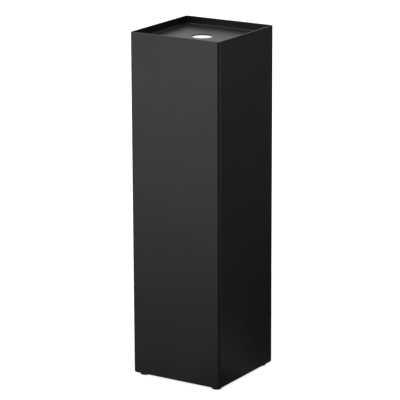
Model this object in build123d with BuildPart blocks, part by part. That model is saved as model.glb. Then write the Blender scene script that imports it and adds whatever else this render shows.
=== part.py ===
from build123d import *
import math
import os

# Square ashtray column: a folded steel shell on four screw feet, a drop-in lid pan
# with a stub hole, and a lift-out stub container that hangs under the lid.
# Millimetres. +Z is up, the front is -Y, and the origin is on the floor under the
# middle of the column.

os.makedirs("parts", exist_ok=True)

# ---- Column ---------------------------------------------------------------------------
column_width = 200.0            # outside, along X
column_depth = 200.0            # outside, along Y
shell_height = 685.0            # folded shell without its feet
shell_sheet = 1.5
upright_bend_r = 5.0            # outside radius of the four upright bends
bottom_bend_r = 4.5             # outside radius of the bends into the bottom flange
bottom_flange = 22.0            # return flange under the shell, from the outside face
rim_break_r = 0.4               # sanded edge of the shell's rim

# ---- Lid pan --------------------------------------------------------------------------
lid_sheet = 1.2
lid_side_gap = 0.4              # between the pan and the shell, each side
lid_recess = 15.0               # from the rim down to the pan's floor
lid_bend_r = 2.9                # outside radius of the pan's floor bends
lid_break_r = 0.3
stub_hole_d = 40.0
stub_collar = 1.3               # down-turned edge of the stub hole, below the pan
stub_edge_r = 0.8

# ---- Pads, ledges and container seat --------------------------------------------------
pad_thickness = 1.5
pad_r = 4.5
pad_spread = 55.0               # from the middle of a side to a pad
ledge_sheet = 1.5
ledge_width = 14.5              # level leg, from the shell's inner face
ledge_height = 15.0             # upright leg
ledge_end_gap = 18.0            # from the end of a ledge to the shell's inner corner
container_side_gap = 4.0        # between the container's wall and the ledge's edge
ledge_overlap = 10.0            # how much of the container's flange lies on the ledge

# ---- Stub container -------------------------------------------------------------------
container_height = 400.0
container_sheet = 1.0
container_flange_sheet = 1.2
container_corner_r = 8.0        # outside
container_flange_corner_r = 10.0
container_mouth_r = 1.1         # rounding from the wall into the flange
floor_pan_skirt = 12.0          # container's floor above the lower end of its walls
floor_pan_gap = 0.05            # floor pan inside the walls

# ---- Bail handle, with its ears and rests ---------------------------------------------
bail_wire_r = 2.5
bail_bend_r = 14.0              # centre line, at the crossbar
pivot_drop = 17.0               # pivot below the container's flange
pivot_clearance = 0.08          # radial, wire in its ear
pivot_bend_r = 3.0              # centre line, where a leg turns into its pivot
pivot_overrun = 2.5             # wire end past the ear
leg_gap = 0.5                   # between a bail leg and its ear
bracket_sheet = 2.0
ear_width = 20.0
ear_corner_r = 8.0
ear_offset = 4.0                # how far the ear's eye stands off the wall
ear_eye_rise = 9.0              # top of the ear above the pivot
ear_joggle_drop = 8.0           # joggle below the pivot
ear_foot_drop = 36.0            # lower end of the ear below the pivot
rest_gap = 0.2                  # between a folded leg and its rest
rest_width = 12.0
rest_bend_r = 2.0
rest_reach = 13.0               # level leg, from the wall
rest_drop = 15.0                # upright leg
rest_from_front = 30.0          # middle of a rest from the container's front wall
grip_r = 4.5
grip_clearance = 0.05           # radial, wire in the grip
grip_end_gap = 14.0             # from the grip's end to the start of the wire's bend
grip_end_r = 1.5
grip_wall_gap = 4.5             # between the folded grip and the front wall

# ---- Rivets of the ears and rests -----------------------------------------------------
rivet_r = 2.0
rivet_head_r = 3.8
rivet_head_height = 1.4
rivet_clearance = 0.05
ear_rivet_drops = (18.0, 30.0)  # below the pivot
rest_rivet_drop = 9.0           # below the rest's level leg

# ---- Base, ballast and feet -----------------------------------------------------------
base_sheet = 2.0
base_edge_gap = 0.5             # between the base plate and the shell's bottom bends
base_corner_r = 4.0
base_screw_inset = 13.0         # screw's centre from the outside face
base_screw_r = 2.5
base_screw_head_r = 4.75
base_screw_head_height = 2.6
base_nut_flats = 8.0
base_nut_height = 4.0
ballast_inset = 30.0            # ballast plate's edge from the outside face
ballast_thickness = 8.0
ballast_corner_r = 6.0
ballast_bolt_inset = 14.0       # bolt's centre from the ballast plate's edge
bolt_r = 3.0
bolt_head_r = 5.25
bolt_head_height = 3.2
washer_r = 6.2
washer_thickness = 1.6
anchor_hole_r = 4.5
anchor_spacing = 90.0           # square pattern for bolts into the ground
foot_height = 5.0               # pad below the shell
foot_inset = 17.0               # pad's centre from each outside face
foot_pad_r = 10.0
foot_edge_r = 2.0
foot_socket_depth = 3.0         # stud moulded into the pad
stud_r = 3.0
stud_rise = 20.0                # stud above the pad
nut_flats = 10.0
nut_height = 5.0
thread_clearance = 0.05         # radial, stud or bolt in its nut
hole_clearance = 0.5            # radial, bolt in a plain hole
thread_overrun = 2.0            # bolt end past its nut
head_edge_r = 1.2
socket_flats = 3.0
socket_depth = 1.6
thread_chamfer = 0.5

pick_band = 0.05                # half height of the band in which edges are picked by level

# ---- Levels and half sizes, worked out from the values above --------------------------
half_width = column_width / 2
half_depth = column_depth / 2
inner_half_width = half_width - shell_sheet
inner_half_depth = half_depth - shell_sheet
shell_bottom = foot_height
shell_top = shell_bottom + shell_height
base_bottom = shell_bottom + shell_sheet
base_top = base_bottom + base_sheet
ballast_top = base_top + ballast_thickness
ballast_half_width = half_width - ballast_inset
ballast_half_depth = half_depth - ballast_inset

lid_half_width = inner_half_width - lid_side_gap
lid_half_depth = inner_half_depth - lid_side_gap
lid_corner_r = upright_bend_r - shell_sheet - lid_side_gap
lid_floor = shell_top - lid_recess
lid_underside = lid_floor - lid_sheet
flange_top = lid_underside - pad_thickness
flange_bottom = flange_top - container_flange_sheet
ledge_top = flange_bottom - pad_thickness
pad_inset = shell_sheet + ledge_width - ledge_overlap / 2

container_half_width = inner_half_width - ledge_width - container_side_gap
container_half_depth = inner_half_depth - ledge_width - container_side_gap
inside_half_width = container_half_width - container_sheet
inside_half_depth = container_half_depth - container_sheet
container_bottom = flange_top - container_height
flange_reach = container_side_gap + ledge_overlap

pivot_z = flange_bottom - pivot_drop
ear_face = inside_half_width - ear_offset - bracket_sheet
leg_x = ear_face - leg_gap - bail_wire_r
pivot_end_x = ear_face + bracket_sheet + pivot_overrun
crossbar_y = -(inside_half_depth - grip_wall_gap - grip_r)
rest_top = pivot_z - bail_wire_r - rest_gap
rest_y = -(inside_half_depth - rest_from_front)
grip_length = 2 * (leg_x - bail_bend_r - grip_end_gap)

foot_points = {
    "front_left": (-(half_width - foot_inset), -(half_depth - foot_inset)),
    "front_right": (half_width - foot_inset, -(half_depth - foot_inset)),
    "back_left": (-(half_width - foot_inset), half_depth - foot_inset),
    "back_right": (half_width - foot_inset, half_depth - foot_inset),
}
RIGHT = Vector(1, 0, 0)
LEFT = Vector(-1, 0, 0)
BACK = Vector(0, 1, 0)
FRONT = Vector(0, -1, 0)


def side_plane(outward, y=0.0):
    """Upright plane across a wall: its x runs out through the wall and its y runs up."""
    return Plane(origin=(0, y, 0), x_dir=outward, z_dir=outward.cross(Vector(0, 0, 1)))


def mid_side_points(inset_x, inset_y):
    """One point in the middle of each side of a rectangle with these half sizes."""
    return [(inset_x, 0), (-inset_x, 0), (0, inset_y), (0, -inset_y)]


def pad_points():
    """Pad centres, two to each side, over the part of the ledge that carries the flange."""
    x = half_width - pad_inset
    y = half_depth - pad_inset
    beside = [(sx * x, sy * pad_spread) for sx in (1, -1) for sy in (1, -1)]
    ahead = [(sx * pad_spread, sy * y) for sx in (1, -1) for sy in (1, -1)]
    return beside + ahead


def across_x(y, z):
    """Place on the middle plane whose local z runs along X."""
    return Location((0, y, z), (0, 90, 0))


def edges_at(part, level):
    """Edges of a part that lie at one level."""
    return part.edges().filter_by_position(Axis.Z, level - pick_band, level + pick_band)


def build_screws(name, points, seat, top, shank_r, head_r, head_height):
    """Button-head screws with their heads under a level seat and their ends at a level."""
    with BuildPart() as screws:
        with BuildSketch(Plane.XY.offset(seat)):
            with Locations(*points):
                Circle(head_r)
        extrude(amount=-head_height)
        fillet(screws.edges().group_by(Axis.Z)[0], head_edge_r)
        with BuildSketch(Plane.XY.offset(seat)):
            with Locations(*points):
                Circle(shank_r)
        extrude(amount=top - seat)
        chamfer(screws.edges().group_by(Axis.Z)[-1], thread_chamfer)
        with BuildSketch(Plane.XY.offset(seat - head_height)):
            with Locations(*points):
                RegularPolygon(socket_flats / 2, 6, major_radius=False)
        extrude(amount=socket_depth, mode=Mode.SUBTRACT)
    screws.part.label = name
    export_step(screws.part, f"parts/{name}.step")


def build_nuts(name, points, seat, bore_r, flats, height):
    """Hexagon nuts standing on a level seat."""
    with BuildPart() as nuts:
        with BuildSketch(Plane.XY.offset(seat)):
            with Locations(*points):
                RegularPolygon(flats / 2, 6, major_radius=False)
                Circle(bore_r, mode=Mode.SUBTRACT)
        extrude(amount=height)
    nuts.part.label = name
    export_step(nuts.part, f"parts/{name}.step")


base_screw_points = mid_side_points(
    half_width - base_screw_inset, half_depth - base_screw_inset
)
ballast_bolt_points = mid_side_points(
    ballast_half_width - ballast_bolt_inset, ballast_half_depth - ballast_bolt_inset
)
rivet_places = [(0, pivot_z - drop) for drop in ear_rivet_drops]
rivet_places.append((rest_y, rest_top - rest_rivet_drop))

# ---- Outer shell ----------------------------------------------------------------------
with BuildPart() as outer_shell:
    with BuildSketch(Plane.XY.offset(shell_bottom)):
        RectangleRounded(column_width, column_depth, upright_bend_r)
    extrude(amount=shell_height)
    fillet(outer_shell.edges().group_by(Axis.Z)[0], bottom_bend_r)
    with BuildSketch(Plane.XY.offset(base_bottom)):
        RectangleRounded(
            2 * inner_half_width, 2 * inner_half_depth, upright_bend_r - shell_sheet
        )
    extrude(amount=shell_height, mode=Mode.SUBTRACT)
    fillet(edges_at(outer_shell, base_bottom), bottom_bend_r - shell_sheet)
    with BuildSketch(Plane.XY.offset(shell_bottom)):
        Rectangle(column_width - 2 * bottom_flange, column_depth - 2 * bottom_flange)
        with Locations(*foot_points.values()):
            Circle(stud_r + hole_clearance)
        with Locations(*base_screw_points):
            Circle(base_screw_r + hole_clearance)
    extrude(amount=shell_sheet, mode=Mode.SUBTRACT)
    fillet(outer_shell.edges().group_by(Axis.Z)[-1], rim_break_r)
outer_shell.part.label = "outer_shell"
export_step(outer_shell.part, "parts/outer_shell.step")

# ---- Ledges that carry the container, spot-welded to the four walls -------------------
for side, outward, wall, across in (
    ("right", RIGHT, inner_half_width, inner_half_depth),
    ("left", LEFT, inner_half_width, inner_half_depth),
    ("back", BACK, inner_half_depth, inner_half_width),
    ("front", FRONT, inner_half_depth, inner_half_width),
):
    with BuildPart() as ledge:
        with BuildSketch(side_plane(outward)):
            with BuildLine():
                FilletPolyline(
                    (wall - ledge_width, ledge_top - ledge_sheet / 2),
                    (wall - ledge_sheet / 2, ledge_top - ledge_sheet / 2),
                    (wall - ledge_sheet / 2, ledge_top - ledge_height),
                    radius=ledge_sheet,
                )
            trace(line_width=ledge_sheet)
        extrude(amount=across - ledge_end_gap, both=True)
    ledge.part.label = f"ledge_{side}"
    export_step(ledge.part, f"parts/ledge_{side}.step")

# ---- Rubber pads between the ledges and the container's flange ------------------------
with BuildPart() as ledge_pads:
    with BuildSketch(Plane.XY.offset(ledge_top)):
        with Locations(*pad_points()):
            Circle(pad_r)
    extrude(amount=pad_thickness)
ledge_pads.part.label = "ledge_pads"
export_step(ledge_pads.part, "parts/ledge_pads.step")

# ---- Lid pan --------------------------------------------------------------------------
with BuildPart() as lid_pan:
    with BuildSketch(Plane.XY.offset(lid_underside)):
        RectangleRounded(2 * lid_half_width, 2 * lid_half_depth, lid_corner_r)
    extrude(amount=shell_top - lid_underside)
    fillet(lid_pan.edges().group_by(Axis.Z)[0], lid_bend_r)
    with BuildSketch(Plane.XY.offset(lid_floor)):
        RectangleRounded(
            2 * (lid_half_width - lid_sheet),
            2 * (lid_half_depth - lid_sheet),
            lid_corner_r - lid_sheet,
        )
    extrude(amount=lid_recess, mode=Mode.SUBTRACT)
    fillet(edges_at(lid_pan, lid_floor), lid_bend_r - lid_sheet)
    with BuildSketch(Plane.XY.offset(lid_underside)):
        Circle(stub_hole_d / 2 + lid_sheet)
    extrude(amount=-stub_collar)
    with BuildSketch(Plane.XY.offset(lid_floor)):
        Circle(stub_hole_d / 2)
    extrude(amount=-(lid_sheet + stub_collar), mode=Mode.SUBTRACT)
    floor_circles = edges_at(lid_pan, lid_floor).filter_by(GeomType.CIRCLE)
    fillet(floor_circles.sort_by(SortBy.RADIUS)[-1], stub_edge_r)
    fillet(lid_pan.edges().group_by(Axis.Z)[-1], lid_break_r)
lid_pan.part.label = "lid_pan"
export_step(lid_pan.part, "parts/lid_pan.step")

# ---- Felt pads stuck under the lid pan ------------------------------------------------
with BuildPart() as lid_pads:
    with BuildSketch(Plane.XY.offset(flange_top)):
        with Locations(*pad_points()):
            Circle(pad_r)
    extrude(amount=pad_thickness)
lid_pads.part.label = "lid_pads"
export_step(lid_pads.part, "parts/lid_pads.step")

# ---- Stub container: walls with their flange ------------------------------------------
with BuildPart() as container_body:
    with BuildSketch(Plane.XY.offset(container_bottom)):
        RectangleRounded(
            2 * container_half_width, 2 * container_half_depth, container_corner_r
        )
    extrude(amount=container_height - container_flange_sheet)
    with BuildSketch(Plane.XY.offset(flange_bottom)):
        RectangleRounded(
            2 * (container_half_width + flange_reach),
            2 * (container_half_depth + flange_reach),
            container_flange_corner_r,
        )
    extrude(amount=container_flange_sheet)
    with BuildSketch(Plane.XY.offset(container_bottom)):
        RectangleRounded(
            2 * inside_half_width,
            2 * inside_half_depth,
            container_corner_r - container_sheet,
        )
    extrude(amount=container_height, mode=Mode.SUBTRACT)
    mouth_edges = container_body.faces().sort_by(Axis.Z)[-1].inner_wires().edges()
    fillet(mouth_edges, container_mouth_r)
    with Locations(*[across_x(y, z) for y, z in rivet_places]):
        Cylinder(rivet_r + rivet_clearance, column_width, mode=Mode.SUBTRACT)
container_body.part.label = "container_body"
export_step(container_body.part, "parts/container_body.step")

# ---- Container floor: a pan with its skirt down, seamed inside the walls --------------
with BuildPart() as container_floor:
    pan_half_width = inside_half_width - floor_pan_gap
    pan_half_depth = inside_half_depth - floor_pan_gap
    pan_corner_r = container_corner_r - container_sheet - floor_pan_gap
    with BuildSketch(Plane.XY.offset(container_bottom)):
        RectangleRounded(2 * pan_half_width, 2 * pan_half_depth, pan_corner_r)
    extrude(amount=floor_pan_skirt)
    fillet(container_floor.edges().group_by(Axis.Z)[-1], 2 * container_sheet)
    with BuildSketch(Plane.XY.offset(container_bottom)):
        RectangleRounded(
            2 * (pan_half_width - container_sheet),
            2 * (pan_half_depth - container_sheet),
            pan_corner_r - container_sheet,
        )
    extrude(amount=floor_pan_skirt - container_sheet, mode=Mode.SUBTRACT)
    under_floor = container_bottom + floor_pan_skirt - container_sheet
    fillet(edges_at(container_floor, under_floor), container_sheet)
container_floor.part.label = "container_floor"
export_step(container_floor.part, "parts/container_floor.step")

# ---- Ears that hold the bail's pivots, inside the container's side walls --------------
with BuildPart() as bail_ears:
    for outward in (RIGHT, LEFT):
        with BuildSketch(side_plane(outward)):
            with BuildLine():
                foot_x = inside_half_width - bracket_sheet / 2
                eye_x = foot_x - ear_offset
                Polyline(
                    (foot_x, pivot_z - ear_foot_drop),
                    (foot_x, pivot_z - ear_joggle_drop - ear_offset),
                    (eye_x, pivot_z - ear_joggle_drop),
                    (eye_x, pivot_z + ear_eye_rise),
                )
            trace(line_width=bracket_sheet)
        extrude(amount=ear_width / 2, both=True)
    corner_edges = bail_ears.edges().filter_by(Axis.X).group_by(Axis.Z)
    fillet(corner_edges[0] + corner_edges[-1], ear_corner_r)
    with Locations(across_x(0, pivot_z)):
        Cylinder(bail_wire_r + pivot_clearance, column_width, mode=Mode.SUBTRACT)
    with Locations(*[across_x(y, z) for y, z in rivet_places[:-1]]):
        Cylinder(rivet_r + rivet_clearance, column_width, mode=Mode.SUBTRACT)
bail_ears.part.label = "bail_ears"
export_step(bail_ears.part, "parts/bail_ears.step")

# ---- Rests that the folded bail lies on -----------------------------------------------
with BuildPart() as bail_rests:
    for outward in (RIGHT, LEFT):
        with BuildSketch(side_plane(outward, rest_y)):
            with BuildLine():
                FilletPolyline(
                    (inside_half_width - rest_reach, rest_top - bracket_sheet / 2),
                    (inside_half_width - bracket_sheet / 2, rest_top - bracket_sheet / 2),
                    (inside_half_width - bracket_sheet / 2, rest_top - rest_drop),
                    radius=rest_bend_r,
                )
            trace(line_width=bracket_sheet)
        extrude(amount=rest_width / 2, both=True)
    with Locations(across_x(*rivet_places[-1])):
        Cylinder(rivet_r + rivet_clearance, column_width, mode=Mode.SUBTRACT)
bail_rests.part.label = "bail_rests"
export_step(bail_rests.part, "parts/bail_rests.step")

# ---- Rivets through the container's walls, with a domed head at each end ---------------
with BuildPart() as container_rivets:
    grip_of_rivet = container_sheet + bracket_sheet
    dome_r = (rivet_head_r**2 + rivet_head_height**2) / (2 * rivet_head_height)
    dome_start = 90 - math.degrees(math.asin(rivet_head_r / dome_r))
    dome_sink = dome_r - rivet_head_height
    for turn, x in ((90, container_half_width), (-90, -container_half_width)):
        with Locations(*[Location((x, y, z), (0, turn, 0)) for y, z in rivet_places]):
            Cylinder(
                rivet_r, grip_of_rivet, align=(Align.CENTER, Align.CENTER, Align.MAX)
            )
            with Locations((0, 0, -dome_sink)):
                Sphere(dome_r, arc_size1=dome_start, align=None)
            with Locations(Location((0, 0, dome_sink - grip_of_rivet), (180, 0, 0))):
                Sphere(dome_r, arc_size1=dome_start, align=None)
container_rivets.part.label = "container_rivets"
export_step(container_rivets.part, "parts/container_rivets.step")

# ---- Bail handle, folded forward onto its rests ---------------------------------------
with BuildPart() as bail_handle:
    with BuildLine() as bail_line:
        FilletPolyline(
            (pivot_end_x, 0, pivot_z),
            (leg_x, 0, pivot_z),
            (leg_x, crossbar_y, pivot_z),
            (-leg_x, crossbar_y, pivot_z),
            (-leg_x, 0, pivot_z),
            (-pivot_end_x, 0, pivot_z),
            radius=[pivot_bend_r, bail_bend_r, bail_bend_r, pivot_bend_r],
        )
    with BuildSketch(Plane(origin=bail_line.line @ 0, z_dir=bail_line.line % 0)):
        Circle(bail_wire_r)
    sweep()
bail_handle.part.label = "bail_handle"
export_step(bail_handle.part, "parts/bail_handle.step")

# ---- Grip tube on the bail's crossbar -------------------------------------------------
with BuildPart() as bail_grip:
    with BuildSketch(Plane.YZ.offset(-grip_length / 2)):
        with Locations((crossbar_y, pivot_z)):
            Circle(grip_r)
    extrude(amount=grip_length)
    fillet(bail_grip.edges().filter_by(GeomType.CIRCLE), grip_end_r)
    with BuildSketch(Plane.YZ.offset(-grip_length / 2)):
        with Locations((crossbar_y, pivot_z)):
            Circle(bail_wire_r + grip_clearance)
    extrude(amount=grip_length, mode=Mode.SUBTRACT)
bail_grip.part.label = "bail_grip"
export_step(bail_grip.part, "parts/bail_grip.step")

# ---- Base plate, laid on the shell's bottom flange ------------------------------------
with BuildPart() as base_plate:
    with BuildSketch(Plane.XY.offset(base_bottom)):
        edge_inset = bottom_bend_r + base_edge_gap
        RectangleRounded(
            column_width - 2 * edge_inset, column_depth - 2 * edge_inset, base_corner_r
        )
        with Locations(*foot_points.values()):
            Circle(stud_r + hole_clearance, mode=Mode.SUBTRACT)
        with Locations(*base_screw_points):
            Circle(base_screw_r + hole_clearance, mode=Mode.SUBTRACT)
        with Locations(*ballast_bolt_points):
            Circle(bolt_r + hole_clearance, mode=Mode.SUBTRACT)
        with GridLocations(anchor_spacing, anchor_spacing, 2, 2):
            Circle(anchor_hole_r, mode=Mode.SUBTRACT)
    extrude(amount=base_sheet)
base_plate.part.label = "base_plate"
export_step(base_plate.part, "parts/base_plate.step")

# ---- Ballast plate --------------------------------------------------------------------
with BuildPart() as ballast_plate:
    with BuildSketch(Plane.XY.offset(base_top)):
        RectangleRounded(
            2 * ballast_half_width, 2 * ballast_half_depth, ballast_corner_r
        )
        with Locations(*ballast_bolt_points):
            Circle(bolt_r + hole_clearance, mode=Mode.SUBTRACT)
        with GridLocations(anchor_spacing, anchor_spacing, 2, 2):
            Circle(anchor_hole_r, mode=Mode.SUBTRACT)
    extrude(amount=ballast_thickness)
ballast_plate.part.label = "ballast_plate"
export_step(ballast_plate.part, "parts/ballast_plate.step")

# ---- Screws and nuts that join the base plate to the shell's flange -------------------
base_nut_top = base_top + base_nut_height
build_screws(
    "base_screws",
    base_screw_points,
    shell_bottom,
    base_nut_top + thread_overrun,
    base_screw_r,
    base_screw_head_r,
    base_screw_head_height,
)
build_nuts(
    "base_nuts",
    base_screw_points,
    base_top,
    base_screw_r + thread_clearance,
    base_nut_flats,
    base_nut_height,
)

# ---- Bolts, washers and nuts that hold the ballast ------------------------------------
washer_top = ballast_top + washer_thickness
build_screws(
    "ballast_bolts",
    ballast_bolt_points,
    base_bottom,
    washer_top + nut_height + thread_overrun,
    bolt_r,
    bolt_head_r,
    bolt_head_height,
)
build_nuts(
    "ballast_nuts",
    ballast_bolt_points,
    washer_top,
    bolt_r + thread_clearance,
    nut_flats,
    nut_height,
)
with BuildPart() as ballast_washers:
    with BuildSketch(Plane.XY.offset(ballast_top)):
        with Locations(*ballast_bolt_points):
            Circle(washer_r)
            Circle(bolt_r + hole_clearance, mode=Mode.SUBTRACT)
    extrude(amount=washer_thickness)
ballast_washers.part.label = "ballast_washers"
export_step(ballast_washers.part, "parts/ballast_washers.step")

# ---- Nuts welded on the base plate for the feet's studs -------------------------------
build_nuts(
    "foot_nuts",
    list(foot_points.values()),
    base_top,
    stud_r + thread_clearance,
    nut_flats,
    nut_height,
)

# ---- Screw feet: a pad with a stud moulded into it, four times ------------------------
for corner, point in foot_points.items():
    with BuildPart() as foot_pad:
        with BuildSketch():
            with Locations(point):
                Circle(foot_pad_r)
        extrude(amount=foot_height)
        fillet(foot_pad.edges().group_by(Axis.Z)[0], foot_edge_r)
        with BuildSketch(Plane.XY.offset(foot_height)):
            with Locations(point):
                Circle(stud_r)
        extrude(amount=-foot_socket_depth, mode=Mode.SUBTRACT)
    foot_pad.part.label = f"foot_pad_{corner}"
    export_step(foot_pad.part, f"parts/foot_pad_{corner}.step")

    with BuildPart() as foot_stud:
        with BuildSketch(Plane.XY.offset(foot_height - foot_socket_depth)):
            with Locations(point):
                Circle(stud_r)
        extrude(amount=foot_socket_depth + stud_rise)
        chamfer(foot_stud.edges().group_by(Axis.Z)[-1], thread_chamfer)
    foot_stud.part.label = f"foot_stud_{corner}"
    export_step(foot_stud.part, f"parts/foot_stud_{corner}.step")
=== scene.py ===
"""Looks of the square ashtray column: finishes, fine surfaces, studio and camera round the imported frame."""

import logging
import math
from collections.abc import Sequence
from dataclasses import dataclass, field
from enum import Enum

import bpy
import numpy as np
from mathutils import Matrix, Vector


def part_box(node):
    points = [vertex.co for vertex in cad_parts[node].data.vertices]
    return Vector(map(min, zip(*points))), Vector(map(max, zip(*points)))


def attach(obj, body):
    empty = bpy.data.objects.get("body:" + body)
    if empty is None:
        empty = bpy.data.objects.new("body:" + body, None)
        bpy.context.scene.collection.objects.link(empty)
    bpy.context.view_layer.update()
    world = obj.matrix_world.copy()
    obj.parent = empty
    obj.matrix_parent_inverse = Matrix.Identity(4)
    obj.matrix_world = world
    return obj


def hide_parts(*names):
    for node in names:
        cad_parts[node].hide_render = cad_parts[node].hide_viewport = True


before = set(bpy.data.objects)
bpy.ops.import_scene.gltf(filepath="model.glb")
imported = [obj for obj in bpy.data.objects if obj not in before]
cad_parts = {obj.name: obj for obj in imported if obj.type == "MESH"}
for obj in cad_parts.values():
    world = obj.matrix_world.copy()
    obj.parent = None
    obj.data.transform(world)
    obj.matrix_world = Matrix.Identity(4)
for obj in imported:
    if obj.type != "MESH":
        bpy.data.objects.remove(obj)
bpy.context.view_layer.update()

log = logging.getLogger("ashtray_column")
MM = 0.001
FULL_TURN = 2.0 * math.pi
WHITE = (1.0, 1.0, 1.0, 1.0)
NOISE_LOW, NOISE_HIGH = 0.3, 0.7
GLOW_LIMIT = 2.0
FLANK_STEEPNESS, CREST_FLAT = 1.5, 0.25
MACHINED_CREASE = math.radians(35)
MOULDED_CREASE = math.radians(50)


class Body(str, Enum):
    """Bodies that the new pieces ride on, apart from the four feet."""

    COLUMN = "column"
    BAIL = "bail"


class Corner(str, Enum):
    """The four corners that carry a screw foot."""

    FRONT_LEFT = "front_left"
    FRONT_RIGHT = "front_right"
    BACK_LEFT = "back_left"
    BACK_RIGHT = "back_right"


# ---- Node and mesh helpers --------------------------------------------------------------


@dataclass
class Shader:
    """A material under construction, with short calls for the nodes that the finishes share."""

    name: str
    material: bpy.types.Material = field(init=False)

    def __post_init__(self) -> None:
        """Makes the material with a Principled shader and Object coordinates."""
        self.material = bpy.data.materials.new(self.name)
        self.material.use_nodes = True
        self.nodes = self.material.node_tree.nodes
        self.links = self.material.node_tree.links
        self.surface = self.nodes["Principled BSDF"]
        self.place = self.nodes.new("ShaderNodeTexCoord").outputs["Object"]

    def set(self, **values: float | tuple[float, ...]) -> None:
        """Sets sockets of the Principled shader.

        Args:
            values: socket names in lower case with underscores, and their constant values.
        """
        for key, value in values.items():
            self.surface.inputs[key.replace("_", " ").title().replace("Ior", "IOR")].default_value = value

    def noise(self, scale: float, detail: float = 2.0, roughness: float = 0.5) -> bpy.types.NodeSocket:
        """Fractal noise on Object coordinates.

        Args:
            scale: cells per metre.
            detail: octaves.
            roughness: share of each finer octave.

        Returns:
            The noise factor, about 0.5 on average.
        """
        node = self.nodes.new("ShaderNodeTexNoise")
        node.inputs["Scale"].default_value = scale
        node.inputs["Detail"].default_value = detail
        node.inputs["Roughness"].default_value = roughness
        self.links.new(self.place, node.inputs["Vector"])
        return node.outputs["Fac"]

    def cells(self, scale: float) -> bpy.types.NodeSocket:
        """Random grey per Voronoi cell, with cells per metre as its scale."""
        node = self.nodes.new("ShaderNodeTexVoronoi")
        node.inputs["Scale"].default_value = scale
        self.links.new(self.place, node.inputs["Vector"])
        return node.outputs["Color"]

    def between(self, factor: bpy.types.NodeSocket, low: float, high: float) -> bpy.types.NodeSocket:
        """Maps a factor, over the span that most noise fills, onto the range from low to high."""
        node = self.nodes.new("ShaderNodeMapRange")
        node.inputs["From Min"].default_value = NOISE_LOW
        node.inputs["From Max"].default_value = NOISE_HIGH
        node.inputs["To Min"].default_value = low
        node.inputs["To Max"].default_value = high
        self.links.new(factor, node.inputs["Value"])
        return node.outputs["Result"]

    def blend_colours(
        self, factor: bpy.types.NodeSocket, first: tuple[float, ...], second: tuple[float, ...]
    ) -> None:
        """Feeds Base Color with a mix of two colours by a noise or cell factor."""
        node = self.nodes.new("ShaderNodeMix")
        node.data_type = "RGBA"
        node.inputs["A"].default_value = (*first, 1.0)
        node.inputs["B"].default_value = (*second, 1.0)
        self.links.new(self.between(factor, 0.0, 1.0), node.inputs["Factor"])
        self.links.new(node.outputs["Result"], self.surface.inputs["Base Color"])

    def roughen(self, factor: bpy.types.NodeSocket, low: float, high: float) -> None:
        """Feeds Roughness with a range driven by a factor."""
        self.links.new(self.between(factor, low, high), self.surface.inputs["Roughness"])

    def bump(self, heights: list[tuple[bpy.types.NodeSocket, float]]) -> None:
        """Chains bumps, each a height factor and the depth in metres that it stands for."""
        normal = None
        for height, depth in heights:
            node = self.nodes.new("ShaderNodeBump")
            node.inputs["Distance"].default_value = depth
            self.links.new(height, node.inputs["Height"])
            if normal is not None:
                self.links.new(normal, node.inputs["Normal"])
            normal = node.outputs["Normal"]
        self.links.new(normal, self.surface.inputs["Normal"])


@dataclass
class Graph:
    """A node tree that is filled from empty, node by node."""

    tree: bpy.types.NodeTree

    def __post_init__(self) -> None:
        """Empties the tree."""
        self.tree.nodes.clear()

    def add(
        self, kind: str, inputs: dict[int | str, object] | None = None, **settings: object
    ) -> bpy.types.Node:
        """Adds a node.

        Args:
            kind: the node's type, without ShaderNode.
            inputs: a socket or a value for each input, by name or index.
            settings: the node's own properties.

        Returns:
            The node.
        """
        node = self.tree.nodes.new("ShaderNode" + kind)
        for key, value in settings.items():
            setattr(node, key, value)
        for key, value in (inputs or {}).items():
            if isinstance(value, bpy.types.NodeSocket):
                self.tree.links.new(value, node.inputs[key])
            else:
                node.inputs[key].default_value = value
        return node

    def maths(self, operation: str, *terms: bpy.types.NodeSocket | float) -> bpy.types.NodeSocket:
        """The result of one Math node on sockets and numbers."""
        return self.add("Math", dict(enumerate(terms)), operation=operation).outputs[0]

    def by_bearing(
        self, vector: bpy.types.NodeSocket, stops: tuple[tuple[float, float], ...]
    ) -> bpy.types.NodeSocket:
        """A value by compass bearing about the upright axis.

        Args:
            vector: a place or a direction.
            stops: pairs of a bearing in degrees, from -180 to 180 and counted from the front
                towards the right, and the value there, up to the glow limit.

        Returns:
            The value, smooth between the stops.
        """
        axes = self.add("SeparateXYZ", {0: vector}).outputs
        ahead = self.maths("MULTIPLY", axes["Y"], -1.0)
        bearing = self.maths("ARCTAN2", axes["X"], ahead)
        share = self.maths("MULTIPLY_ADD", bearing, 0.5 / math.pi, 0.5)
        curve = self.add("FloatCurve", {"Value": share})
        points = curve.mapping.curves[0].points
        places = [((degrees + 180.0) / 360.0, value / GLOW_LIMIT) for degrees, value in stops]
        points[0].location, points[1].location = places[0], places[-1]
        for place in places[1:-1]:
            points.new(*place)
        for point in points:
            point.handle_type = "AUTO_CLAMPED"
        curve.mapping.update()
        return self.maths("MULTIPLY", curve.outputs[0], GLOW_LIMIT)


def dress(nodes: list[str], material: bpy.types.Material) -> None:
    """Gives CAD nodes a material.

    Args:
        nodes: node names.
        material: the finish.
    """
    for name in nodes:
        for material_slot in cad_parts[name].material_slots:
            material_slot.material = material


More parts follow.
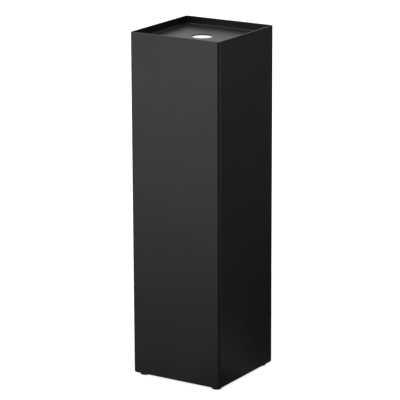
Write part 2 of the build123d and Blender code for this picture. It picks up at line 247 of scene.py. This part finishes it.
def grid_faces(rows: int, columns: int, wrap_rows: bool, wrap_columns: bool) -> np.ndarray:
    """Quads of a grid of points, row by row, that may close on itself in either direction.

    Args:
        rows: number of rows of points.
        columns: number of points in a row.
        wrap_rows: whether the last row joins the first.
        wrap_columns: whether the last point of a row joins its first.

    Returns:
        An array of four corner indices for each quad.
    """
    row = np.arange(rows if wrap_rows else rows - 1)[:, None]
    column = np.arange(columns if wrap_columns else columns - 1)[None, :]
    next_row = (row + 1) % rows
    next_column = (column + 1) % columns
    corners = [row * columns + column, row * columns + next_column,
               next_row * columns + next_column, next_row * columns + column]
    return np.stack(np.broadcast_arrays(*corners), axis=-1).reshape(-1, 4)


def make_piece(
    name: str, points: np.ndarray, faces: Sequence[Sequence[int]], material: bpy.types.Material
) -> bpy.types.Object:
    """A smooth mesh object at the origin.

    Args:
        name: the piece's name.
        points: vertex places in metres, one row each.
        faces: vertex indices of each face, facing outwards.
        material: the finish.

    Returns:
        The linked object.
    """
    mesh = bpy.data.meshes.new(name)
    mesh.from_pydata(points.reshape(-1, 3).tolist(), [], faces)
    mesh.polygons.foreach_set("use_smooth", np.ones(len(mesh.polygons), dtype=bool))
    mesh.materials.append(material)
    piece = bpy.data.objects.new(name, mesh)
    bpy.context.scene.collection.objects.link(piece)
    return piece


def full_turn(steps: int) -> np.ndarray:
    """One row of angles round a circle, stopping a step short of the first."""
    return np.linspace(0.0, FULL_TURN, steps, endpoint=False)[None, :]


def hexagon(turn: np.ndarray, flats: float) -> np.ndarray:
    """Radius of a hexagon by angle.

    Half the width across flats, over the cosine of the angle from the middle of the nearest
    flat. A corner lies on the X axis.

    Args:
        turn: angles.
        flats: width across flats.

    Returns:
        The radius at each angle.
    """
    sixth = math.pi / 3
    return flats / 2 / np.cos(turn % sixth - sixth / 2)


def thread(
    height: np.ndarray, turn: np.ndarray, crest: float, depth: float, pitch: float
) -> np.ndarray:
    """Radius of an outside thread by height and angle.

    The crest's radius less the depth times a triangle wave, clipped flat at crest and root, of
    the height over the pitch less the share of a turn.

    Args:
        height: heights, one row each.
        turn: angles, one column each.
        crest: outside radius.
        depth: from crest to root.
        pitch: rise in one turn.

    Returns:
        The radius at each height and angle.
    """
    phase = (height / pitch - turn / FULL_TURN) % 1.0
    wave = np.abs(2.0 * phase - 1.0)
    return crest - depth * np.clip(FLANK_STEEPNESS * wave - CREST_FLAT, 0.0, 1.0)


def turned_group(
    name: str,
    centres: np.ndarray,
    radius: np.ndarray,
    height: np.ndarray,
    material: bpy.types.Material,
    hollow: bool = False,
) -> bpy.types.Object:
    """Copies of one shape about upright axes.

    A point is its axis, plus its radius times the cosine and sine of its angle, at its height.

    Args:
        name: the piece's name.
        centres: the axes, one row each.
        radius: radii, a row for each ring of the profile and a column for each angle.
        height: heights, one for each ring.
        material: the finish.
        hollow: whether the profile closes on itself round a bore; if not, its ends are capped.

    Returns:
        The linked object, with all copies in one mesh.
    """
    rows, columns = radius.shape
    turn = full_turn(columns)
    x = centres[:, 0, None, None] + radius * np.cos(turn)
    y = centres[:, 1, None, None] + radius * np.sin(turn)
    points = np.stack(np.broadcast_arrays(x, y, height.reshape(-1, 1)), axis=-1)
    quads = grid_faces(rows, columns, hollow, True)
    ring = np.arange(columns)
    caps = [] if hollow else [ring[::-1], ring + (rows - 1) * columns]
    faces = []
    for first_point in range(0, len(centres) * rows * columns, rows * columns):
        faces += (quads + first_point).tolist()
        faces += [(cap + first_point).tolist() for cap in caps]
    piece = make_piece(name, points, faces, material)
    piece.data.set_sharp_from_angle(angle=MACHINED_CREASE)
    return piece


# ---- Finishes ---------------------------------------------------------------------------


@dataclass(frozen=True)
class PowderCoat:
    """Powder coat: a dark or white film with an even orange-peel grain."""

    name: str
    tone: tuple[float, float, float]
    tone_deep: tuple[float, float, float]
    gloss_low: float = 0.27
    gloss_high: float = 0.32
    peel_scale: float = 1300.0
    peel_depth: float = 1.2e-5
    mottle_scale: float = 9.0
    sheen_scale: float = 14.0
    ior: float = 1.5

    @classmethod
    def satin_black(cls, name: str) -> "PowderCoat":
        """The black coat of the outside."""
        return cls(name, (0.0058, 0.0058, 0.0060), (0.0084, 0.0084, 0.0088))

    @classmethod
    def dull_black(cls, name: str) -> "PowderCoat":
        """The thinner and duller black coat of what is hidden."""
        return cls(name, (0.008, 0.008, 0.008), (0.014, 0.014, 0.0145), gloss_low=0.42, gloss_high=0.52)

    def build(self) -> bpy.types.Material:
        """Mottles tone and gloss over decimetres, and grains the film over a millimetre."""
        shader = Shader(self.name)
        shader.set(ior=self.ior)
        shader.blend_colours(shader.noise(self.mottle_scale, detail=3.0), self.tone, self.tone_deep)
        shader.roughen(shader.noise(self.sheen_scale, detail=4.0), self.gloss_low, self.gloss_high)
        shader.bump([(shader.noise(self.peel_scale, detail=1.0), self.peel_depth)])
        return shader.material


@dataclass(frozen=True)
class ZincPlate:
    """Zinc-plated steel with a faint spangle and a drawn or rolled grain."""

    name: str
    bright: tuple[float, float, float] = (0.66, 0.67, 0.68)
    dull: tuple[float, float, float] = (0.54, 0.55, 0.56)
    spangle_scale: float = 420.0
    mottle_scale: float = 160.0
    rough_low: float = 0.24
    rough_high: float = 0.34
    grain_scale: float = 2400.0
    grain_depth: float = 6.0e-6

    def build(self) -> bpy.types.Material:
        """Mixes two greys by noise, and varies the gloss by cell, on a metallic shader."""
        shader = Shader(self.name)
        shader.set(metallic=1.0)
        shader.blend_colours(shader.noise(self.mottle_scale, 5.0, 0.6), self.bright, self.dull)
        shader.roughen(shader.cells(self.spangle_scale), self.rough_low, self.rough_high)
        shader.bump([(shader.noise(self.grain_scale), self.grain_depth)])
        return shader.material


@dataclass(frozen=True)
class PrimedPlate:
    """Hot-rolled plate under a thin grey primer."""

    name: str = "primed_plate"
    tone: tuple[float, float, float] = (0.10, 0.105, 0.11)
    tone_light: tuple[float, float, float] = (0.17, 0.175, 0.18)
    mottle_scale: float = 35.0
    sheen_scale: float = 90.0
    rough_low: float = 0.52
    rough_high: float = 0.72
    skin_scale: float = 300.0
    skin_depth: float = 4.0e-5
    grain_scale: float = 2000.0
    grain_depth: float = 1.0e-5

    def build(self) -> bpy.types.Material:
        """Mottles the primer over the rolled skin."""
        shader = Shader(self.name)
        shader.blend_colours(shader.noise(self.mottle_scale, 6.0, 0.6), self.tone, self.tone_light)
        shader.roughen(shader.noise(self.sheen_scale, detail=3.0), self.rough_low, self.rough_high)
        skin = shader.noise(self.skin_scale, detail=4.0)
        shader.bump([(skin, self.skin_depth), (shader.noise(self.grain_scale), self.grain_depth)])
        return shader.material


@dataclass(frozen=True)
class MouldedPlastic:
    """Black moulded plastic with a spark-eroded grain."""

    name: str
    tone: tuple[float, float, float] = (0.012, 0.012, 0.013)
    tone_worn: tuple[float, float, float] = (0.022, 0.022, 0.023)
    mottle_scale: float = 120.0
    sheen_scale: float = 220.0
    rough_low: float = 0.42
    rough_high: float = 0.58
    grain_scale: float = 1800.0
    grain_depth: float = 2.0e-5
    ior: float = 1.48

    def build(self) -> bpy.types.Material:
        """Fine grain and a slightly uneven sheen."""
        shader = Shader(self.name)
        shader.set(ior=self.ior)
        shader.blend_colours(shader.noise(self.mottle_scale, detail=4.0), self.tone, self.tone_worn)
        shader.roughen(shader.noise(self.sheen_scale, detail=3.0), self.rough_low, self.rough_high)
        shader.bump([(shader.noise(self.grain_scale, detail=3.0), self.grain_depth)])
        return shader.material


@dataclass(frozen=True)
class SoftPad:
    """Rubber or felt of a pad: matt, with a grain or a nap."""

    name: str
    tone: tuple[float, float, float]
    tone_light: tuple[float, float, float]
    grain_scale: float
    grain_depth: float
    mottle_share: float = 1 / 3
    sheen_scale: float = 400.0
    rough_low: float = 0.82
    rough_high: float = 0.96

    def build(self) -> bpy.types.Material:
        """Matt colour with a grain of the given scale."""
        shader = Shader(self.name)
        mottle = shader.noise(self.grain_scale * self.mottle_share, 4.0, 0.7)
        shader.blend_colours(mottle, self.tone, self.tone_light)
        shader.roughen(shader.noise(self.sheen_scale), self.rough_low, self.rough_high)
        shader.bump([(shader.noise(self.grain_scale, 5.0, 0.7), self.grain_depth)])
        return shader.material


# ---- Sub-assemblies ---------------------------------------------------------------------


@dataclass
class ColumnShell:
    """Folded shell and the ledges welded inside it."""

    coat: PowderCoat = PowderCoat.satin_black("shell_powder_coat")
    inner_coat: PowderCoat = PowderCoat.dull_black("inner_powder_coat")
    pad: SoftPad = SoftPad(
        "ledge_pad_rubber",
        tone=(0.012, 0.012, 0.012),
        tone_light=(0.03, 0.03, 0.03),
        grain_scale=900.0,
        grain_depth=3.0e-5,
    )

    def dress(self) -> None:
        """Coats the shell, its ledges and the pads on them."""
        dress(["outer_shell"], self.coat.build())
        dress([f"ledge_{side}" for side in ("front", "back", "left", "right")], self.inner_coat.build())
        dress(["ledge_pads"], self.pad.build())
        log.info("column shell, ledges and ledge pads dressed")


@dataclass
class LidPan:
    """Drop-in pan with the stub hole, and the felt under it."""

    coat: PowderCoat = PowderCoat.satin_black("lid_powder_coat")
    felt: SoftPad = SoftPad(
        "lid_pad_felt",
        tone=(0.05, 0.05, 0.053),
        tone_light=(0.12, 0.12, 0.125),
        grain_scale=2600.0,
        grain_depth=1.2e-4,
    )

    def dress(self) -> None:
        """Coats the pan and felts its pads."""
        dress(["lid_pan"], self.coat.build())
        dress(["lid_pads"], self.felt.build())
        log.info("lid pan and felt pads dressed")


@dataclass
class StubContainer:
    """White-coated container with its brackets and rivets."""

    coat: PowderCoat = PowderCoat(
        "container_white_coat",
        tone=(0.80, 0.80, 0.79),
        tone_deep=(0.74, 0.74, 0.73),
        gloss_low=0.34,
        gloss_high=0.46,
        peel_scale=1100.0,
        peel_depth=1.6e-5,
    )
    zinc: ZincPlate = ZincPlate("bracket_zinc")

    def dress(self) -> None:
        """Coats the container and plates what is riveted to it."""
        dress(["container_body", "container_floor"], self.coat.build())
        dress(["bail_ears", "bail_rests", "container_rivets"], self.zinc.build())
        log.info("stub container, ears, rests and rivets dressed")


@dataclass
class BailHandle:
    """Wire bail with a ribbed plastic grip turned about its crossbar."""

    ribs: int = 9
    rib_depth: float = 0.55 * MM
    plain_end: float = 4.2 * MM
    fade_length: float = 8.4 * MM
    end_round: float = 1.4 * MM
    bore_gap: float = 0.05 * MM
    wire_radius: float = 2.5 * MM
    steps_along: int = 260
    steps_round: int = 48
    wire: ZincPlate = ZincPlate(
        "bail_wire_zinc",
        bright=(0.70, 0.71, 0.72),
        dull=(0.62, 0.63, 0.64),
        spangle_scale=700.0,
    )
    plastic: MouldedPlastic = MouldedPlastic("grip_plastic")

    def grip(self) -> bpy.types.Object:
        """The grip as a surface of revolution.

        A closed profile of radius against length is turned about the crossbar. Its outside is the
        full radius less a depth times the square of a sine, which makes the ribs and fades out
        towards the plain ends, and at each end it drops along a quarter circle. Its inside is
        the bore.

        Returns:
            The grip, riding on the bail.
        """
        low, high = (np.array(corner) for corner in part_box("bail_grip"))
        centre = (low + high) / 2
        half = (high[0] - low[0]) / 2
        radius = (high[2] - low[2]) / 2
        along = np.linspace(-half, half, self.steps_along)
        from_end = np.minimum(half - np.abs(along), self.end_round)
        rounding = self.end_round - np.sqrt(self.end_round**2 - (self.end_round - from_end) ** 2)
        fade = np.clip((half - np.abs(along) - self.plain_end) / self.fade_length, 0.0, 1.0)
        wave = np.sin(math.pi * self.ribs * (along + half) / (2 * half)) ** 2
        outside = radius - rounding - self.rib_depth * wave * fade
        bore = np.full(2, self.wire_radius + self.bore_gap)
        x = np.concatenate([along, [half, -half]])
        r = np.concatenate([outside, bore])
        turn = full_turn(self.steps_round)
        points = np.stack(
            np.broadcast_arrays(
                centre[0] + x[:, None],
                centre[1] + r[:, None] * np.cos(turn),
                centre[2] + r[:, None] * np.sin(turn),
            ),
            axis=-1,
        )
        faces = grid_faces(len(x), self.steps_round, True, True).tolist()
        piece = make_piece("ribbed_grip", points, faces, self.plastic.build())
        piece.data.set_sharp_from_angle(angle=MOULDED_CREASE)
        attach(piece, Body.BAIL.value)
        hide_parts("bail_grip")
        return piece

    def dress(self) -> None:
        """Plates the wire and fits the grip."""
        dress(["bail_handle"], self.wire.build())
        log.info("bail wire dressed, %s fitted", self.grip().name)


@dataclass(frozen=True)
class Screw:
    """Sizes of one kind of button-head screw and its nut."""

    head_radius: float
    shank_radius: float
    pitch: float
    nut_flats: float


@dataclass
class BaseAndBallast:
    """Base plate and ballast plate, and the threaded fasteners that hold them."""

    coat: PowderCoat = PowderCoat.dull_black("base_powder_coat")
    plate: PrimedPlate = PrimedPlate()
    zinc: ZincPlate = ZincPlate("fastener_zinc")
    base: Screw = Screw(head_radius=4.75 * MM, shank_radius=2.5 * MM, pitch=0.8 * MM, nut_flats=8.0 * MM)
    ballast: Screw = Screw(head_radius=5.25 * MM, shank_radius=3.0 * MM, pitch=1.0 * MM, nut_flats=10.0 * MM)
    head_edge: float = 1.2 * MM
    socket_flats: float = 3.0 * MM
    socket_depth: float = 1.6 * MM
    thread_share: float = 0.6
    tip_taper: float = 0.6 * MM
    bore_gap: float = 0.05 * MM
    countersink: float = 0.35 * MM
    bevel_start: float = 0.95
    bevel_slope: float = math.sqrt(3.0)
    steps_round: int = 48
    steps_per_pitch: int = 8
    steps_edge: int = 7
    steps_bevel: int = 6

    @staticmethod
    def mid_sides(node: str, reach: float) -> np.ndarray:
        """Axes in the middle of the four sides of a node's box, set in by a reach."""
        _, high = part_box(node)
        x, y = high.x - reach, high.y - reach
        return np.array([(x, 0.0), (-x, 0.0), (0.0, y), (0.0, -y)])

    def screws(
        self, node: str, name: str, screw: Screw, seat: float, finish: bpy.types.Material
    ) -> bpy.types.Object:
        """Four button-head screws with a hexagon socket and a cut thread.

        The profile runs from the socket's floor down its hexagonal wall, out under the head,
        round its edge on a quarter circle, up to the seat, in to the shank and up the thread,
        which tapers to its root at the tip.

        Args:
            node: the plain screws that these stand for.
            name: the piece's name.
            screw: sizes.
            seat: level of the seat under the head.
            finish: the finish.

        Returns:
            The screws, riding on the column.
        """
        low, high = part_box(node)
        turn = full_turn(self.steps_round)
        socket = hexagon(turn, self.socket_flats)
        bend = np.linspace(0.0, math.pi / 2, self.steps_edge)[:, None]
        edge_radius = screw.head_radius - self.head_edge * (1.0 - np.sin(bend))
        edge_height = low.z + self.head_edge * (1.0 - np.cos(bend))
        steps = int(round((high.z - seat) / screw.pitch * self.steps_per_pitch)) + 1
        shank_height = np.linspace(seat, high.z, steps)[:, None]
        depth = self.thread_share * screw.pitch
        shank = thread(shank_height, turn, screw.shank_radius, depth, screw.pitch)
        taper = np.clip((high.z - shank_height) / self.tip_taper, 0.0, 1.0)
        shank = np.minimum(shank, screw.shank_radius - depth * (1.0 - taper))
        rim = np.full((1, 1), screw.head_radius)
        rings = [socket, socket, edge_radius, rim, shank]
        radius = np.vstack([np.broadcast_to(ring, (len(ring), self.steps_round)) for ring in rings])
        height = np.vstack([[[low.z + self.socket_depth], [low.z]], edge_height, [[seat]], shank_height])
        centres = self.mid_sides(node, screw.head_radius)
        return self.fit(turned_group(name, centres, radius, height, finish), node)

    def nuts(
        self, node: str, name: str, screw: Screw, centres: np.ndarray, finish: bpy.types.Material
    ) -> bpy.types.Object:
        """Hexagon nuts with both ends bevelled.

        The outside is the lesser of the hexagon's radius and that of a cone, which starts just
        inside the flats at each end and opens at 30 degrees to the end's face. The bore is
        round, with a countersink at each end.

        Args:
            node: the plain nuts that these stand for.
            name: the piece's name.
            screw: sizes.
            centres: the nuts' axes.
            finish: the finish.

        Returns:
            The nuts, riding on the column.
        """
        low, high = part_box(node)
        turn = full_turn(2 * self.steps_round)
        start = self.bevel_start * screw.nut_flats / 2
        bevel = (screw.nut_flats / math.sqrt(3.0) - start) / self.bevel_slope
        climb = np.linspace(0.0, bevel, self.steps_bevel)[:, None]
        outside_height = np.vstack([low.z + climb, high.z - climb[::-1]])
        cone = start + self.bevel_slope * np.minimum(outside_height - low.z, high.z - outside_height)
        outside = np.minimum(hexagon(turn, screw.nut_flats), cone)
        bore = screw.shank_radius + self.bore_gap
        mouth = bore + self.countersink
        inside = np.broadcast_to(np.array([[mouth], [bore], [bore], [mouth]]), (4, turn.size))
        sink = self.countersink
        inside_height = np.array([[high.z], [high.z - sink], [low.z + sink], [low.z]])
        radius = np.vstack([outside, inside])
        height = np.vstack([outside_height, inside_height])
        return self.fit(turned_group(name, centres, radius, height, finish, hollow=True), node)

    @staticmethod
    def fit(piece: bpy.types.Object, node: str) -> bpy.types.Object:
        """Lets a fastener ride on the column in place of its plain node."""
        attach(piece, Body.COLUMN.value)
        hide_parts(node)
        log.info("%s fitted", piece.name)
        return piece

    def dress(self) -> None:
        """Coats the plates and fits the fasteners."""
        dress(["base_plate"], self.coat.build())
        dress(["ballast_plate"], self.plate.build())
        zinc = self.zinc.build()
        dress(["ballast_washers"], zinc)
        log.info("base plate, ballast plate and washers dressed")
        shell_bottom, base_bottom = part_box("outer_shell")[0].z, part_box("base_plate")[0].z
        self.screws("base_screws", "socket_screws", self.base, shell_bottom, zinc)
        self.screws("ballast_bolts", "socket_bolts", self.ballast, base_bottom, zinc)
        base_axes = self.mid_sides("base_screws", self.base.head_radius)
        ballast_axes = self.mid_sides("ballast_bolts", self.ballast.head_radius)
        feet = [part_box(f"foot_stud_{corner.value}") for corner in Corner]
        foot_axes = np.array([((low + high) / 2)[:2] for low, high in feet])
        self.nuts("base_nuts", "bevelled_base_nuts", self.base, base_axes, zinc)
        self.nuts("ballast_nuts", "bevelled_ballast_nuts", self.ballast, ballast_axes, zinc)
        self.nuts("foot_nuts", "bevelled_foot_nuts", self.ballast, foot_axes, zinc)


@dataclass
class ScrewFeet:
    """Four moulded pads, each on a threaded stud."""

    pitch: float = 1.0 * MM
    thread_depth: float = 0.6 * MM
    lead_in: float = 0.8 * MM
    steps_per_pitch: int = 10
    steps_round: int = 40
    plastic: MouldedPlastic = MouldedPlastic(
        "foot_plastic", tone=(0.004, 0.004, 0.0042), tone_worn=(0.008, 0.008, 0.0083)
    )
    zinc: ZincPlate = ZincPlate("stud_zinc")

    def stud(self, corner: Corner, material: bpy.types.Material) -> bpy.types.Object:
        """A threaded stud in place of the plain one.

        The thread winds up the stud from the pad, and its radius drops to the root over the
        lead-in at the top.

        Args:
            corner: which foot.
            material: the stud's finish.

        Returns:
            The stud, riding on its foot.
        """
        low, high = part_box(f"foot_stud_{corner.value}")
        centre = (low + high) / 2
        crest = (high.x - low.x) / 2
        rows = int(round((high.z - low.z) / self.pitch)) * self.steps_per_pitch + 1
        height = np.linspace(low.z, high.z, rows)[:, None]
        taper = np.clip((height - high.z + self.lead_in) / self.lead_in, 0.0, 1.0)
        radius = thread(height, full_turn(self.steps_round), crest, self.thread_depth, self.pitch)
        radius = np.minimum(radius, crest - self.thread_depth * taper)
        centres = np.array([centre[:2]])
        piece = turned_group(f"threaded_stud_{corner.value}", centres, radius, height, material)
        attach(piece, f"foot_{corner.value}")
        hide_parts(f"foot_stud_{corner.value}")
        return piece

    def dress(self) -> None:
        """Moulds the pads and threads the studs."""
        dress([f"foot_pad_{corner.value}" for corner in Corner], self.plastic.build())
        stud_finish = self.zinc.build()
        for corner in Corner:
            log.info("%s fitted", self.stud(corner, stud_finish).name)


# ---- Studio and camera ------------------------------------------------------------------


@dataclass
class Studio:
    """Pale floor, soft light, and what the satin coat mirrors of the room.

    Floor and backdrop look white to the camera. What mirrors in the coat is brightest in front and
    to the front left, middling to the left and behind, and dim to the right, but for one bright
    strip of floor behind the right. It is a strength by bearing, which on the floor also rises
    with the distance from the column, and overhead gives way to a soft ceiling.
    """

    floor_radius: float = 9.0
    floor_steps: int = 96
    floor_tone: float = 0.5
    floor_fill: float = 0.86
    far_gain: float = 0.445
    far_power: float = 0.95
    far_end: float = 3.2
    near_left: float = 0.18
    near_right: float = 0.045
    near_end: float = 0.8
    side_inside: float = 15 * MM
    side_outside: float = 25 * MM
    ceiling: float = 1.6
    ceiling_from: float = 0.45
    ceiling_full: float = 0.95
    ambient: float = 0.40
    key_power: float = 2.3
    key_spread: float = 30.0
    key_from: tuple[float, float, float] = (0.15, -0.60, 0.785)
    lamp_power: float = 0.26
    lamp_size: float = 10 * MM
    lamp_offset: tuple[float, float, float] = (-40 * MM, 0.0, -32 * MM)
    floor_glow: tuple[tuple[float, float], ...] = (
        (-180.0, 0.50), (-147.0, 0.50), (-112.0, 0.42), (-84.0, 0.30), (-66.0, 0.32), (-46.0, 0.90),
        (-14.0, 1.20), (0.0, 0.90), (12.0, 0.04), (86.0, 0.05), (106.0, 1.00), (122.0, 0.58),
        (142.0, 0.11), (162.0, 0.10), (180.0, 0.50),
    )
    sky_glow: tuple[tuple[float, float], ...] = (
        (-180.0, 0.64), (-165.0, 0.66), (-147.0, 0.67), (-120.0, 0.70), (-62.0, 0.56), (-32.0, 0.76),
        (-12.0, 1.28), (8.0, 0.16), (60.0, 0.12), (90.0, 0.14), (148.0, 0.06), (162.0, 0.10), (180.0, 0.64),
    )

    def build(self) -> None:
        """Sets up floor, room and lights."""
        self.floor()
        self.room()
        self.key_light()
        self.container_lamp()
        bpy.context.scene.view_settings.view_transform = "Standard"
        log.info("studio set")

    def floor(self) -> None:
        """A level disc under the column."""
        turn = full_turn(self.floor_steps)[0]
        points = self.floor_radius * np.stack([np.cos(turn), np.sin(turn), 0 * turn], axis=-1)
        make_piece("studio_floor", points, [tuple(range(len(turn)))], self.floor_finish())

    def floor_finish(self) -> bpy.types.Material:
        """Paper that is white to the camera, and a glow to glossy rays.

        The glow's strength is a value by bearing times a power of the distance, plus a near glow
        that fades out with distance and is weaker beside the right face.

        Returns:
            The floor's finish.
        """
        material = bpy.data.materials.new("studio_floor_paper")
        material.use_nodes = True
        graph = Graph(material.node_tree)
        place = graph.add("NewGeometry").outputs["Position"]
        distance = graph.add("VectorMath", {0: place}, operation="LENGTH").outputs["Value"]
        rise = graph.maths("POWER", graph.maths("MINIMUM", distance, self.far_end), self.far_power)
        far = graph.maths("MULTIPLY", rise, graph.by_bearing(place, self.floor_glow))
        right_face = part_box("outer_shell")[1].x
        side = graph.add(
            "MapRange",
            {
                "Value": graph.add("SeparateXYZ", {0: place}).outputs["X"],
                "From Min": right_face - self.side_inside,
                "From Max": right_face + self.side_outside,
                "To Min": self.near_left,
                "To Max": self.near_right,
            },
        ).outputs["Result"]
        fade = graph.add("MapRange", {"Value": distance, "From Max": self.near_end,
                                      "To Min": 1.0, "To Max": 0.0}).outputs["Result"]
        near = graph.maths("MULTIPLY", side, fade)
        strength = graph.maths("MULTIPLY_ADD", far, self.far_gain, near)
        glow = graph.add("Emission", {"Strength": strength}).outputs[0]
        path = graph.add("LightPath").outputs
        paper = graph.add("BsdfDiffuse", {"Color": (self.floor_tone,) * 3 + (1.0,)}).outputs[0]
        seen = graph.maths("MULTIPLY", path["Is Camera Ray"], self.floor_fill)
        fill = graph.add("Emission", {"Strength": seen}).outputs[0]
        white = graph.add("AddShader", {0: paper, 1: fill}).outputs[0]
        surface = graph.add("MixShader", {0: path["Is Glossy Ray"], 1: white, 2: glow}).outputs[0]
        graph.add("OutputMaterial", {"Surface": surface})
        return material

    def room(self) -> None:
        """World: white to the camera, the sky glow to glossy rays, even light to the rest."""
        world = bpy.data.worlds.new("studio_room")
        bpy.context.scene.world = world
        world.use_nodes = True
        graph = Graph(world.node_tree)
        direction = graph.add("TexCoord").outputs["Generated"]
        height = graph.add("SeparateXYZ", {0: direction}).outputs["Z"]
        overhead = graph.add(
            "MapRange",
            {"Value": height, "From Min": self.ceiling_from, "From Max": self.ceiling_full},
            interpolation_type="SMOOTHSTEP",
        ).outputs["Result"]
        sides = graph.by_bearing(direction, self.sky_glow)
        strength = graph.add("Mix", {"Factor": overhead, "A": sides, "B": self.ceiling}).outputs["Result"]
        glow = graph.add("Background", {"Color": WHITE, "Strength": strength}).outputs[0]
        even = graph.add("Background", {"Color": WHITE, "Strength": self.ambient}).outputs[0]
        backdrop = graph.add("Background", {"Color": WHITE}).outputs[0]
        path = graph.add("LightPath").outputs
        unseen = graph.add("MixShader", {0: path["Is Glossy Ray"], 1: even, 2: glow}).outputs[0]
        surface = graph.add("MixShader", {0: path["Is Camera Ray"], 1: unseen, 2: backdrop}).outputs[0]
        graph.add("OutputWorld", {"Surface": surface})

    def key_light(self) -> None:
        """A broad soft light from the front and above, which the coats don't mirror."""
        light = bpy.data.lights.new("key_light", "SUN")
        light.energy = self.key_power
        light.angle = math.radians(self.key_spread)
        key = bpy.data.objects.new("key_light", light)
        key.rotation_mode = "QUATERNION"
        key.rotation_quaternion = Vector(self.key_from).to_track_quat("Z", "Y")
        key.visible_glossy = False
        bpy.context.scene.collection.objects.link(key)

    def container_lamp(self) -> None:
        """A small lamp in the container's mouth, so that its white wall shows through the hole."""
        light = bpy.data.lights.new("container_lamp", "POINT")
        light.energy = self.lamp_power
        light.shadow_soft_size = self.lamp_size
        lamp = bpy.data.objects.new("container_lamp", light)
        lamp.location = Vector((0.0, 0.0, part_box("container_body")[1].z)) + Vector(self.lamp_offset)
        lamp.visible_camera = False
        lamp.visible_glossy = False
        bpy.context.scene.collection.objects.link(lamp)


@dataclass
class ViewCamera:
    """Long-lens camera above the front right corner."""

    bearing: float = 32.37
    height_angle: float = 14.99
    roll: float = -0.22
    widths_away: float = 23.54
    lens: float = 216.67
    aside: float = -0.0054
    raised: float = 0.0016
    nearest: float = 0.1
    farthest: float = 60.0

    def build(self) -> bpy.types.Object:
        """Aims at the middle of the shell, from a distance counted in column widths."""
        low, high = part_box("outer_shell")
        width = high.x - low.x
        bearing, height = math.radians(self.bearing), math.radians(self.height_angle)
        back = Vector((math.sin(bearing) * math.cos(height), -math.cos(bearing) * math.cos(height),
                       math.sin(height)))
        turn = (-back).to_track_quat("-Z", "Y").to_matrix()
        aim = (low + high) / 2 + turn @ Vector((self.aside, self.raised, 0.0))
        data = bpy.data.cameras.new("view_camera")
        data.lens = self.lens
        data.clip_start = self.nearest
        data.clip_end = self.farthest
        camera = bpy.data.objects.new("view_camera", data)
        place = (turn @ Matrix.Rotation(math.radians(self.roll), 3, "Z")).to_4x4()
        place.translation = aim + back * (self.widths_away * width)
        camera.matrix_world = place
        bpy.context.scene.collection.objects.link(camera)
        bpy.context.scene.camera = camera
        return camera


def main() -> None:
    """Dresses every sub-assembly, then sets up the studio and the camera."""
    logging.basicConfig(level=logging.INFO)
    for assembly in (ColumnShell(), LidPan(), StubContainer(), BailHandle(), BaseAndBallast(), ScrewFeet()):
        assembly.dress()
    Studio().build()
    log.info("%s placed", ViewCamera().build().name)


if __name__ == "__main__":
    main()
